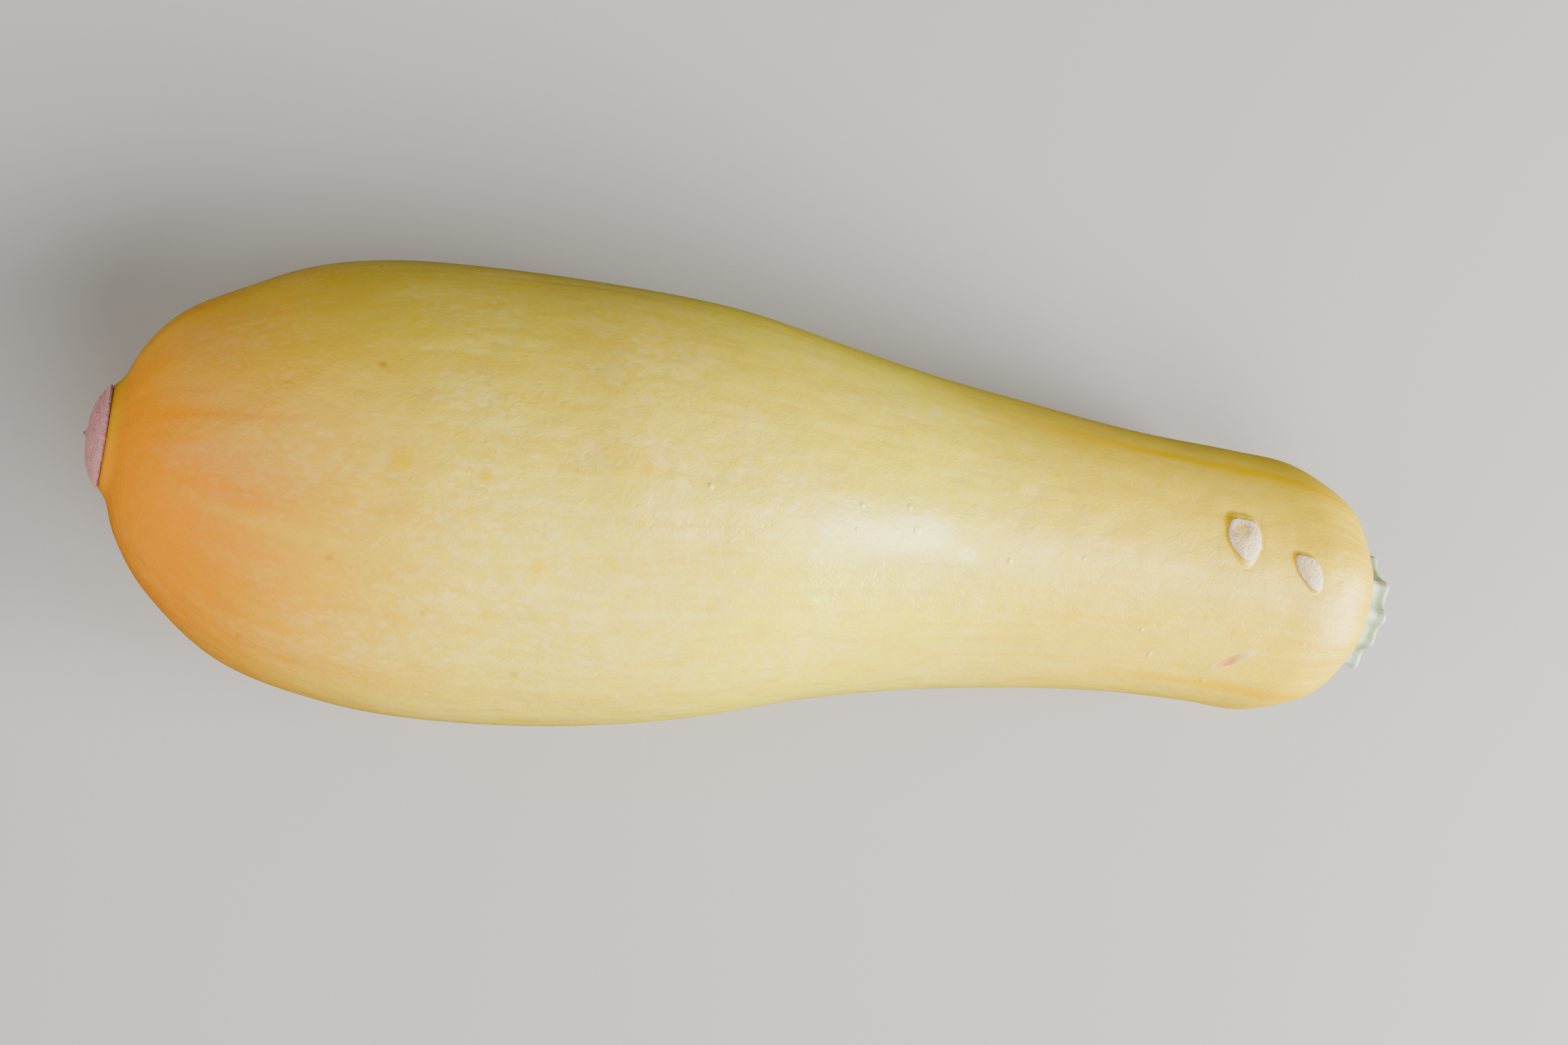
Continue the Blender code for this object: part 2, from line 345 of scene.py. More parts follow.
def in_scab(along, around, scab):
    """A scab's own measure of a point: 0 at its middle, 1 on its outline, more outside.

    The offset along is shifted by the lean and widened by the taper below the middle, which
    makes the tip. The measure is the root of the sum of both offsets to the fourth power, each in
    half sizes of the scab, so the upper corners are square but round. Arrays and shader values
    both go through it."""
    place, _, half_length, half_width, lean, _ = scab
    down = around / half_width
    to_tip = (down + abs(down)) / 2
    across = (along - place - lean * down) * (1 + SCAB_TAPER * to_tip * to_tip) / half_length
    across, down = across * across, down * down
    return (across * across + down * down) ** 0.5


def in_scratch(along, around):
    """The scratch's own measure of a point, as in_scab: 0 in its middle and 1 on its outline."""
    place, _, half_length, half_width, slant, _ = SCRATCH
    onwards = (along - place) * math.cos(slant) - around * math.sin(slant)
    across = (along - place) * math.sin(slant) + around * math.cos(slant)
    return (onwards / half_length) ** 2 + (across / half_width) ** 2


def skin_relief(along, radius, angle, skin):
    """How far the skin stands out from its smooth profile, in mm.

    Low ribs that fade away from the stem, a few long seeded waves, a shallow dent, a low swell,
    the healed scabs with a dip round each and a pit in the first, and the scratch with raised
    edges, all faded out at both ends."""
    inside = np.clip(np.minimum(along, FRUIT_LENGTH - along) / SMOOTH_END, 0, 1)
    near_stem = np.clip(1 - (FRUIT_LENGTH - along) / RIB_REACH, 0, 1)
    height = skin.rib_height / MM * near_stem**2 * np.cos(RIB_COUNT * angle)
    draw = np.random.default_rng(LUMP_SEED)
    for _ in range(LUMP_WAVES):
        lobes = draw.integers(*LUMP_LOBES)
        length = draw.uniform(*LUMP_LENGTH)
        shift, turn = draw.uniform(0, 2 * math.pi, 2)
        wave = np.cos(lobes * angle + turn) * np.cos(2 * math.pi * along / length + shift)
        height = height + skin.lump_height / MM / math.sqrt(LUMP_WAVES) * wave
    around = radius * (angle - math.radians(DENT_ANGLE))
    dent = ((along - DENT_AT) / DENT_LENGTH) ** 2 + (around / DENT_WIDTH) ** 2
    height = height - DENT_DEPTH * np.exp(-dent)
    place, degrees, rise, length, width = SWELL
    around = radius * (angle - math.radians(degrees))
    height = height + rise * np.exp(-(((along - place) / length) ** 2) - (around / width) ** 2)
    for scab in SCABS:
        around = radius * (angle - math.radians(scab[1]))
        measure = in_scab(along, around, scab)
        height = height + scab[5] * np.clip(1 - measure, 0, 1) ** SCAB_ROUNDING
        outside = np.clip(measure - 1, 0, None)
        height = height - MOAT_DEPTH * np.exp(-outside / MOAT_WIDTH) * (outside > 0)
    scab, (over, down, length, width, depth) = SCABS[0], SCAB_PIT
    around = radius * (angle - math.radians(scab[1])) - down
    pit = ((along - scab[0] - over) / length) ** 2 + (around / width) ** 2
    height = height - depth * np.exp(-(pit**2))
    scratch = in_scratch(along, radius * (angle - math.radians(SCRATCH[1])))
    edges, hollow = np.exp(-((scratch - 1) ** 2)), np.exp(-scratch)
    height = height + SCRATCH[5] * (edges - SCRATCH_DEPTH * hollow)
    return height * inside


def pressed_flat(height):
    """The height with everything below the surface raised to it, blended over FLAT_EDGE."""
    blend = (height + FLAT_EDGE) ** 2 / (4 * FLAT_EDGE)
    return np.where(height > FLAT_EDGE, height, np.where(height < -FLAT_EDGE, 0.0, blend))


def ring_places(skin):
    """Distances of the rings along the fruit, in even steps of the skin's own length.

    The step is skin.ring_step in the middle, finer at both ends and finest at the scabs."""
    middle = 0.5 * (SKIN_CURVE[1:, 0] + SKIN_CURVE[:-1, 0])
    from_end = np.minimum(middle, FRUIT_LENGTH - middle)
    share = END_STEP + (1 - END_STEP) * np.clip(from_end / END_ZONE, 0, 1)
    share[(middle > SCAB_ZONE[0]) & (middle < SCAB_ZONE[1])] = SCAB_STEP
    step = skin.ring_step / MM * share
    stretch = np.linalg.norm(np.diff(SKIN_CURVE, axis=0), axis=1)
    count = np.concatenate([[0], np.cumsum(stretch / step)])
    wanted = np.linspace(0, count[-1], round(count[-1]) + 1)
    return np.interp(wanted, count, SKIN_CURVE[:, 0])


def fruit_surface(skin):
    """The skin on a grid of distances s and angles v: its points and its straightened places.

    Point = centre line(s) + (radius(s) + relief(s, v)) * (cos v * left + sin v * up), pressed
    flat where it touches down. The straightened place is (s, radius * cos v, radius * sin v)."""
    along = ring_places(skin)[:, None]
    angle = angles(skin.points_round, math.radians(CROWDED_AT), CROWDING)[None, :]
    radius = radius_at(along)
    reach = radius + skin_relief(along, radius, angle, skin)
    near_end = [(d, radius[0, 0] * share) for d, share in UNDER_CORK[::-1]]
    far_end = [(FRUIT_LENGTH + d, radius[-1, 0] * share) for d, share in UNDER_STEM]
    closing = [np.array(end) for end in (near_end, far_end)]
    round_ones = np.ones_like(angle)
    reach = np.vstack([closing[0][:, 1:] * round_ones, reach, closing[1][:, 1:] * round_ones])
    places = np.concatenate([closing[0][:, 0], along[:, 0], closing[1][:, 0]])
    smooth = np.vstack([closing[0][:, 1:], radius, closing[1][:, 1:]])
    held = np.clip(places, 0, FRUIT_LENGTH)
    left, up, heading = cross_axes(held)
    centre = centre_line(held) + (places - held)[:, None] * heading
    across = np.cos(angle)[..., None] * left[:, None] + np.sin(angle)[..., None] * up[:, None]
    points = centre[:, None] + reach[..., None] * across
    points[..., 2] = pressed_flat(points[..., 2])
    return points, straightened(places[:, None] * round_ones, smooth, angle)


def straightened(distance, reach, angle):
    """The places (distance, reach * cos v, reach * sin v) that a material reads, in mm."""
    return np.stack([distance, reach * np.cos(angle), reach * np.sin(angle)], axis=-1)


def surface_mesh(name, points, marks):
    """A closed mesh from a grid of rings, with a point in the middle of its first and last ring.

    points has the shape (rings, points round, 3), in mm from the blossom end. marks are named
    values on the same grid, kept as attributes for the material."""
    rings, around = points.shape[:2]
    poles = np.stack([points[0].mean(axis=0), points[-1].mean(axis=0)])
    every = np.vstack([points.reshape(-1, 3), poles]) + np.array(BLOSSOM_END)
    ring, step = np.meshgrid(np.arange(rings - 1), np.arange(around), indexing="ij")
    a, b = ring * around + step, ring * around + (step + 1) % around
    quads = np.stack([a, b, b + around, a + around], axis=-1).reshape(-1, 4)
    near = np.arange(around)
    after = (near + 1) % around
    first = np.stack([after, near, np.full(around, rings * around)], axis=-1)
    far, far_pole = (rings - 1) * around, np.full(around, rings * around + 1)
    last = np.stack([far + near, far + after, far_pole], axis=-1)
    corners = np.concatenate([quads.ravel(), first.ravel(), last.ravel()])
    sizes = np.concatenate([np.full(len(quads), 4), np.full(2 * around, 3)])
    mesh = bpy.data.meshes.new(name)
    mesh.vertices.add(len(every))
    mesh.loops.add(len(corners))
    mesh.polygons.add(len(sizes))
    mesh.vertices.foreach_set("co", (every * MM).astype(np.float32).ravel())
    mesh.loops.foreach_set("vertex_index", corners.astype(np.int32))
    starts = np.concatenate([[0], np.cumsum(sizes)[:-1]])
    mesh.polygons.foreach_set("loop_start", starts.astype(np.int32))
    mesh.update(calc_edges=True)
    mesh.validate()
    for mark, values in marks.items():
        values = values.reshape(rings, around, -1)
        ends = values[[0, -1]].mean(axis=1)
        flat = np.vstack([values.reshape(rings * around, -1), ends]).astype(np.float32)
        kind, field = ("FLOAT_VECTOR", "vector") if flat.shape[1] == 3 else ("FLOAT", "value")
        mesh.attributes.new(mark, kind, "POINT").data.foreach_set(field, flat.ravel())
    mesh.shade_smooth()
    return mesh


def add_piece(name, mesh, material, node):
    """Puts a mesh into the scene as the piece that stands for one solid of the frame."""
    mesh.materials.append(material)
    piece = bpy.data.objects.new(name, mesh)
    bpy.context.collection.objects.link(piece)
    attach(piece, BODY)
    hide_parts(node)
    return piece


class Value:
    """A node's output that takes part in Python sums. Each operator adds one Math node."""

    def __init__(self, finish, socket):
        self.finish, self.socket = finish, socket

    def maths(self, operation, *values):
        return self.finish.add("ShaderNodeMath", {"operation": operation}, enumerate(values))

    def __add__(self, other):
        return self.maths("ADD", self, other)

    def __radd__(self, other):
        return self.maths("ADD", other, self)

    def __sub__(self, other):
        return self.maths("SUBTRACT", self, other)

    def __rsub__(self, other):
        return self.maths("SUBTRACT", other, self)

    def __mul__(self, other):
        return self.maths("MULTIPLY", self, other)

    def __rmul__(self, other):
        return self.maths("MULTIPLY", other, self)

    def __truediv__(self, other):
        return self.maths("DIVIDE", self, other)

    def __pow__(self, other):
        return self.maths("POWER", self, other)

    def __abs__(self):
        return self.maths("ABSOLUTE", self)

    def at_least(self, other):
        return self.maths("MAXIMUM", self, other)

    def at_most(self, other):
        return self.maths("MINIMUM", self, other)


class Finish:
    """A material and the nodes of its surface. add() makes any node, the rest name common ones.

    colour is the colour so far, and cover() lays another one over it."""

    def __init__(self, name):
        self.material = bpy.data.materials.new(name)
        self.material.use_nodes = True
        self.tree = self.material.node_tree
        self.shader = self.tree.nodes["Principled BSDF"]

    def add(self, kind, settings=(), inputs=(), output=0):
        """A node of this kind: first its settings, then a number, colour or Value each input."""
        node = self.tree.nodes.new(kind)
        for name, value in dict(settings).items():
            setattr(node, name, value)
        for name, value in dict(inputs).items():
            self.feed(node.inputs[name], value)
        return Value(self, node.outputs[output])

    def feed(self, socket, value):
        """Links a Value to a socket, or sets the socket to a number, vector or colour."""
        if isinstance(value, Value):
            self.tree.links.new(value.socket, socket)
        elif socket.type == "RGBA" and len(value) == 3:
            socket.default_value = (*value, 1.0)
        else:
            socket.default_value = value

    def mark(self, name):
        """The value that the mesh carries under this name, as a vector."""
        return self.add("ShaderNodeAttribute", {"attribute_name": name}, output="Vector")

    def number(self, name):
        """The value that the mesh carries under this name, as a number."""
        return self.add("ShaderNodeAttribute", {"attribute_name": name}, output="Fac")

    def vector(self, operation, *vectors, output=0):
        settings = {"operation": operation}
        return self.add("ShaderNodeVectorMath", settings, enumerate(vectors), output)

    def scaled(self, vector, onwards, across):
        """A place with its first number multiplied by onwards and the other two by across."""
        return self.vector("MULTIPLY", vector, (onwards, across, across))

    def parts(self, vector):
        """The three numbers of a vector."""
        split = self.add("ShaderNodeSeparateXYZ", inputs={0: vector}).socket.node
        return [Value(self, split.outputs[k]) for k in range(3)]

    def noise(self, place, detail=2.0, roughness=0.5, distortion=0.0):
        """Soft noise about 0.5 with features about one unit of place across."""
        settings = {"noise_dimensions": "3D", "normalize": True}
        inputs = {"Vector": place, "Scale": 1.0, "Detail": detail, "Roughness": roughness}
        return self.add("ShaderNodeTexNoise", settings, {**inputs, "Distortion": distortion})

    def step(self, value, low, high):
        """0 where value is at low and 1 where it is at high, eased between them."""
        inputs = {"Value": value, "From Min": low, "From Max": high}
        return self.add("ShaderNodeMapRange", {"interpolation_type": "SMOOTHSTEP"}, inputs)

    def mix(self, share, first, second):
        """The colour that goes from first to second as share goes from 0 to 1."""
        return self.add("ShaderNodeMix", {"data_type": "RGBA"}, {0: share, 6: first, 7: second}, 2)

    def cover(self, share, colour):
        """Lays a colour over the colour so far: not at all at share 0, fully at 1."""
        self.colour = self.mix(share, self.colour, colour)

    def bump(self, height):
        """The surface's normal with relief of this height, in mm."""
        return self.add("ShaderNodeBump", inputs={"Distance": MM, "Height": height})

    def surface(self, **inputs):
        """Sets the shader's sockets, with an underscore for each space in a socket's name."""
        for name, value in inputs.items():
            self.feed(self.shader.inputs[name.replace("_", " ")], value)


class SkinFinish(Finish):
    """The skin's material, with the places on the fruit that its patterns are laid out by.

    place is the straightened place of a point, along, left and up are its parts, and girth is the
    direction from the centre line to the point."""

    def __init__(self):
        super().__init__("squash_skin")
        self.place = self.mark("skin_place")
        self.along, self.left, self.up = self.parts(self.place)
        self.girth = self.vector("NORMALIZE", self.scaled(self.place, 0.0, 1.0))
        self.neck = self.stretch(NECK)
        self.near_stem = self.stretch(NEAR_STEM)
        self.mottle = self.noise(self.scaled(self.place, 0.45, 0.6), 3.0, 0.6)
        self.fine = self.noise(self.lane(26.0, 1.3), 3.0, 0.6)
        self.lines = self.noise(self.lane(16.0, 1.1), 2.0, 0.6)
        self.crust = self.noise(self.scaled(self.place, 1.8, 1.8), 4.0, 0.65)

    def stretch(self, places):
        """0 before and 1 within a stretch of the fruit, given by where it starts and is full."""
        return self.step(self.along, *places)

    def lane(self, length, width):
        """Places for a pattern that runs along the fruit, so long and so wide at LANE_RADIUS."""
        spread = self.vector("MULTIPLY", self.girth, (LANE_RADIUS / width,) * 3)
        return self.vector("ADD", spread, self.scaled(self.place, 1.0 / length, 0.0))

    def facing(self, degrees):
        """1 on the line at this angle round the fruit, 0 a quarter round from it, -1 behind."""
        turn = math.radians(degrees)
        towards = (0.0, math.cos(turn), math.sin(turn))
        return self.vector("DOT_PRODUCT", self.girth, towards, output="Value")

    def round_from(self, degrees):
        """How far round the fruit a point is from this angle, in mm."""
        turn = math.radians(degrees)
        return self.up * math.cos(turn) - self.left * math.sin(turn)

    def off_side(self, degrees):
        """0 on the line at this angle, and so much off it that a mark's measure passes it."""
        return (1 - self.facing(degrees)) * OTHER_SIDE

    def spot(self, mark, softness):
        """A soft round spot: 1 in its middle, 0 from a little past its radius on."""
        along, degrees, radius = mark
        turn = math.radians(degrees)
        reach = float(radius_at(along))
        middle = (along, reach * math.cos(turn), reach * math.sin(turn))
        away = self.vector("DISTANCE", self.place, middle, output="Value")
        return self.step(away, radius * (1 + softness), radius * (1 - softness))

    def spots(self, marks, softness):
        """All these spots, each 1 in its middle."""
        shown = 0.0
        for mark in marks:
            shown = self.spot(mark, softness) + shown
        return shown

    def flecks(self, size, crowd):
        """Soft flecks, this far apart along and round in mm, more of them where crowd is high.

        A fleck is where a cloud stands higher than the distance to the next point of a lattice."""
        even = self.scaled(self.place, 1 / size[0], 1 / size[1])
        cells = self.add("ShaderNodeTexVoronoi", {"feature": "F1"}, {"Vector": even, "Scale": 1.0})
        cloud = self.noise(self.scaled(even, 1.4, 1.4), 2.0)
        return self.step(cloud - cells * 0.7 + (crowd - 0.5) * 0.14, 0.08, 0.56)


def paint_ground(paint, skin):
    """Lemon, paler past the belly, more so on the lit near side, which is painted light, and less
    so on the upper side, which is painted shade, with golden lanes and duller clouds.
    """
    clouds = paint.noise(paint.scaled(paint.place, 0.13, 0.2), 4.0, 0.62)
    pale = paint.step(paint.along + (clouds - 0.5) * 30.0, *PALE_START) * paint.stretch(PALE_END)
    # Paler on the lit near side: painted light
    near = paint.step(paint.facing(PAINTED_LIGHT_LINE), 0.7, 1.0) * 0.4 * paint.stretch(PAINTED_LIGHT_END)
    # Less pale on the upper side, away from the light: painted shade
    painted_shade = paint.step(paint.facing(PAINTED_SHADE_LINE), 0.8, 1.0) * paint.stretch(PAINTED_SHADE_END)
    pale = pale.at_least(near) * paint.stretch(LEMON_END) * (1 - painted_shade * 0.55)
    unpaled = 1 - pale * 0.8
    paint.colour = paint.mix(pale, skin.lemon, skin.pale)
    golden = paint.step(paint.noise(paint.lane(70.0, 8.0), 3.0), 0.45, 0.7) * unpaled
    paint.cover(golden * 0.6, skin.gold)
    paint.cover(paint.step(clouds, 0.5, 0.68) * unpaled * 0.55, skin.dull)
    paint.cover(paint.step(clouds, 0.48, 0.3) * 0.4, skin.cream_and_painted_highlight)
    paint.cover(paint.step(paint.mottle, 0.5, 0.7) * (0.4 - pale * 0.2), skin.gold)
    paint.cover(paint.step(paint.fine, 0.5, 0.68) * (paint.neck * 0.2 + 0.42), skin.gold)
    paint.cover(paint.step(paint.fine, 0.5, 0.25) * (0.25 - paint.neck * 0.17), skin.cream_and_painted_highlight)
    paint.cover(paint.neck * 0.22, skin.streak)
    paint.cover(paint.stretch(WARM_END) * 0.7, skin.warm)


def paint_blush(paint, skin):
    """Orange from the blossom end, with a streaky front that reaches on along the near side, and a
    pinkish tan patch on the upper side that is a painted reflection.

    Returns where the orange is and where the amber is that it fades into."""
    near_side = paint.step(paint.facing(NEAR_LINE), 0.5, 0.85)
    front = paint.along + (paint.noise(paint.lane(45.0, 3.5), 3.0) - 0.5) * 20.0 + 6.0
    front = front - paint.facing(BLUSH_LINE) * 9.0 - near_side * 3.5
    blush, amber = paint.step(front, *BLUSH_FRONT), paint.step(front, *AMBER_FRONT)
    paint.cover(amber * 0.85, skin.amber)
    patches = paint.step(paint.noise(paint.lane(24.0, 12.0), 2.0), 0.35, 0.6)
    # The pinkish tan patch on the upper side: a painted reflection
    tan = paint.step(paint.facing(PAINTED_REFLECTION_LINE), 0.7, 0.96) * patches * paint.stretch(PAINTED_REFLECTION_START)
    paint.cover(blush, paint.mix(tan * 0.7, skin.blush, skin.tan))
    ray = paint.step(abs(paint.round_from(RAY_LINE)), 2.2, 0.2)
    ray = ray * paint.step(paint.facing(RAY_LINE), 0.8, 0.95)
    ray = ray * paint.stretch(RAY_START) * paint.stretch(RAY_END)
    paint.cover(ray * 0.75, skin.blush)
    return blush, amber


def paint_flecks(paint, skin, blush, amber):
    """Small soft spots, thicker in patches and on the milky side, which is partly a painted sheen,
    and long on the neck, with fine dust between them and golden dashes over them. Returns how
    much they show."""
    neck = paint.neck
    # Thicker flecks on the lit side: partly real flecks, partly painted sheen
    milky_and_painted_sheen = paint.step(paint.facing(MILKY_PAINTED_SHEEN_LINE), 0.86, 1.0) * paint.stretch(MILKY_PAINTED_SHEEN_START)
    crowd = paint.step(paint.noise(paint.lane(18.0, 9.0), 2.0), 0.35, 0.65)
    crowd = crowd.at_least(milky_and_painted_sheen * paint.stretch(MILKY_PAINTED_SHEEN_END))
    small = paint.flecks((1.7, 1.2), crowd)
    large = paint.flecks((4.2, 2.4), crowd) * crowd
    long = paint.flecks((7.0, 1.1), crowd)
    flecks = (small + (long - small) * neck * 0.8 + large * 0.3).at_most(1.0)
    shown = (crowd * 0.24 + 0.16) * (1 - amber * 0.35) * (1 - neck * 0.55)
    # Flecks show more towards the lit side: partly painted sheen
    shown = shown * (paint.step(paint.facing(FLECKED_PAINTED_SHEEN_LINE), -0.1, 0.6) * 0.6 + 0.4)
    dust = paint.step(paint.noise(paint.scaled(paint.place, 0.9, 1.7), 3.0, 0.65), 0.5, 0.72)
    dust = dust * (1 - flecks) * (crowd * 0.3 + 0.15)
    flecks = flecks * shown + dust * (1 - amber * 0.55) * (1 - neck * 0.6)
    paint.cover(flecks, paint.mix(blush, skin.fleck, skin.pink))
    dashes = paint.step(paint.noise(paint.lane(9.0, 1.7), 2.0, 0.6), 0.54, 0.7)
    paint.cover(dashes * (1 - neck * 0.5) * (1 - amber) * 0.4, skin.gold)
    return flecks


def paint_streaks(paint, skin):
    """Golden streaks on the neck and fine orange lines that run into the stem end."""
    wander = (paint.noise(paint.lane(28.0, 12.0), 1.0) - 0.5) * 3.0
    for degrees, bend, start, full in GOLD_STREAKS:
        across = abs(paint.round_from(degrees) + wander - paint.stretch(STREAKS_TURN) * bend)
        streak = paint.step(across, 1.7, 0.2) * paint.step(paint.facing(degrees), 0.7, 0.9)
        streak = streak * paint.stretch((start, full)) * paint.stretch(STREAKS_END)
        paint.cover(streak * 0.95, skin.streak)
    paint.cover(paint.near_stem * paint.step(paint.lines, 0.5, 0.68) * 0.7, skin.amber)
    paint.cover(paint.near_stem * paint.step(paint.lines, 0.48, 0.3) * 0.4, skin.cream_and_painted_highlight)


def paint_marks(paint, skin):
    """Yellow spots, brown specks, pimples, glossy spots and the rim at the cork. The cream on the
    pimples is partly a painted glint, the cream on the glossy spots is a painted highlight, and
    the dark rim at the cork is painted shade.

    Returns where the pimples and the glossy spots are."""
    for mark in YELLOW_SPOTS:
        paint.cover(paint.spot(mark, 0.8) * 0.65, skin.streak)
    for mark in BROWN_SPECKS:
        paint.cover(paint.spot(mark, 0.7) * 0.5, skin.brown)
    pimples_and_painted_glints = paint.spots(PIMPLES, 0.9)
    gloss_and_painted_highlight = paint.spots(GLOSS_AND_PAINTED_HIGHLIGHT_SPOTS, 0.7)
    # Cream on the pimples and the glossy spots: painted glints and painted highlight
    paint.cover((pimples_and_painted_glints * 0.7 + gloss_and_painted_highlight * 0.35).at_most(1.0), skin.cream_and_painted_highlight)
    green = paint.stretch(GREEN_RIM) * paint.step(paint.facing(GREEN_LINE), 0.45, 0.95)
    paint.cover(green * 0.55, skin.green)
    # Dark rim where skin meets cork: painted shade in the crease
    paint.cover(paint.stretch(PAINTED_CORK_SHADE) * 0.4, skin.brown)
    return pimples_and_painted_glints, gloss_and_painted_highlight


def paint_scab(paint, skin, scab):
    """A stained outline, stronger on its left where that is a painted shadow, and a tan crust with
    whitish edges and a painted highlight on its lower right.

    Returns how much rougher the scab is than the skin and its relief."""
    place, degrees, half_length, half_width, lean, _ = scab
    around = paint.round_from(degrees)
    measure = in_scab(paint.along, around, scab) + paint.off_side(degrees)
    measure = measure + (paint.crust - 0.5) * 0.5
    rightwards = (paint.along - place) / half_length - around * (lean / half_width / half_length)
    # The scab's left side, where its painted shadow falls
    painted_shadow_side = paint.step(rightwards, 0.0, -0.8)
    paint.cover(paint.step(measure, 2.2, 1.0) * (painted_shadow_side * 0.55 + 0.15), skin.streak)
    paint.cover(paint.step(measure, 1.45, 1.12) * (painted_shadow_side * 0.35 + 0.12), skin.brown)
    inside = paint.step(measure, 1.12, 0.92)
    # The lower right of the crust, whiter and glossier: painted highlight
    painted_highlight_side = paint.step(rightwards + around / half_width + paint.crust * 1.2, 0.3, 1.3)
    whitish_and_painted_highlight = paint.step(measure, 0.3, 0.8).at_least(painted_highlight_side) * paint.step(paint.crust, 0.3, 0.65)
    paint.cover(inside * 0.92, paint.mix(whitish_and_painted_highlight * 0.85, skin.crust, skin.chalk_and_painted_highlight))
    return inside * (0.06 - painted_highlight_side * 0.16), inside * paint.crust * CRUST_RELIEF


def paint_pit(paint, skin):
    """The thin patch in the first scab."""
    (place, degrees, *_), (over, down, length, width, _) = SCABS[0], SCAB_PIT
    around = paint.round_from(degrees) - down
    pit = ((paint.along - place - over) / length) ** 2.0 + (around / width) ** 2.0
    pit = pit + paint.off_side(degrees) + (paint.crust - 0.5) * 0.6
    paint.cover(paint.step(pit, 1.2, 0.6) * 0.8, skin.window)


def paint_scratch(paint, skin):
    """Pale healed skin with an orange-brown middle that ends towards the stem."""
    place, degrees, *_ = SCRATCH
    scratch = in_scratch(paint.along, paint.round_from(degrees)) + paint.off_side(degrees)
    scratch = scratch + (paint.crust - 0.5) * 1.6
    paint.cover(paint.step(scratch, 2.6, 1.0) * 0.5, skin.healed)
    core = paint.step(scratch, 1.6, 0.7) * paint.stretch((place + 1.6, place + 0.2))
    paint.cover(core * 0.9, skin.scratch)


def skin_material(skin):
    """The skin: its colours from the ground up, with painted light, shade, highlights and a
    painted reflection among them, its gloss and its fine relief.
    """
    paint = SkinFinish()
    paint_ground(paint, skin)
    blush, amber = paint_blush(paint, skin)
    flecks = paint_flecks(paint, skin, blush, amber)
    paint_streaks(paint, skin)
    pimples_and_painted_glints, gloss_and_painted_highlight = paint_marks(paint, skin)
    rough = 0.26 + paint.mottle * 0.04 + flecks * 0.05 + paint.neck * 0.06
    rough = rough + paint.near_stem * 0.1 - (gloss_and_painted_highlight + pimples_and_painted_glints).at_most(1.0) * 0.12
    upward = paint.step(paint.facing(GRAIN_LINE), 0.2, 0.9)
    grain = paint.noise(paint.scaled(paint.place, 0.9, 1.2), 3.0, 0.55, 0.8)
    ripple = paint.noise(paint.scaled(paint.place, 0.18, 0.25), 1.0)
    height = grain * (upward * GRAIN_ON_TOP + GRAIN) + ripple * (upward * RIPPLE_ON_TOP + RIPPLE)
    height = height + paint.fine * LANE_RELIEF + pimples_and_painted_glints * PIMPLE_RELIEF
    height = height + paint.near_stem * paint.lines * LINE_RELIEF
    for scab in SCABS:
        rougher, relief = paint_scab(paint, skin, scab)
        rough, height = rough + rougher, height + relief
    paint_pit(paint, skin)
    paint_scratch(paint, skin)
    paint.surface(
        Base_Color=paint.colour,
        Roughness=rough,
        Specular_IOR_Level=0.26,
        Coat_Weight=0.12 - paint.neck * 0.06 + gloss_and_painted_highlight.at_most(1.0) * 0.6,
        Coat_Roughness=0.22,
        Normal=paint.bump(height),
    )
    return paint.material


def stem_surface(stem):
    """The stem stub on a grid of places along its profile and angles round it.

    Point = centre + out * heading + (radius + ridge height * ridges(v)) * (cos v * left + sin v
    * up), where ridges(v) is a sum of narrow bells, one at each ridge."""
    profile = curve_through(STEM_PROFILE, stem.rings_between)
    angle = angles(stem.points_round)
    ridges = np.zeros_like(angle)
    for degrees, share in STEM_RIDGES:
        away = np.angle(np.exp(1j * (angle - math.radians(degrees))))
        ridges += share * np.exp(-((np.degrees(away) / RIDGE_WIDTH) ** 2))
    centre, left, up, out = end_frame(FRUIT_LENGTH, 1)
    distance, radius, rise = (profile[:, k : k + 1] for k in range(3))
    reach = (radius + rise * ridges)[..., None]
    across = np.cos(angle)[:, None] * left + np.sin(angle)[:, None] * up
    points = centre + (STEM_FOOT + distance)[..., None] * out + reach * across
    place = straightened(distance + 0 * angle, reach[..., 0], angle)
    station = np.linspace(0, len(STEM_PROFILE) - 1, len(profile))[:, None]
    cut = np.clip(station - CUT_EDGE_STATION, 0, 1)
    return points, place, ridges + 0 * distance, cut + 0 * angle


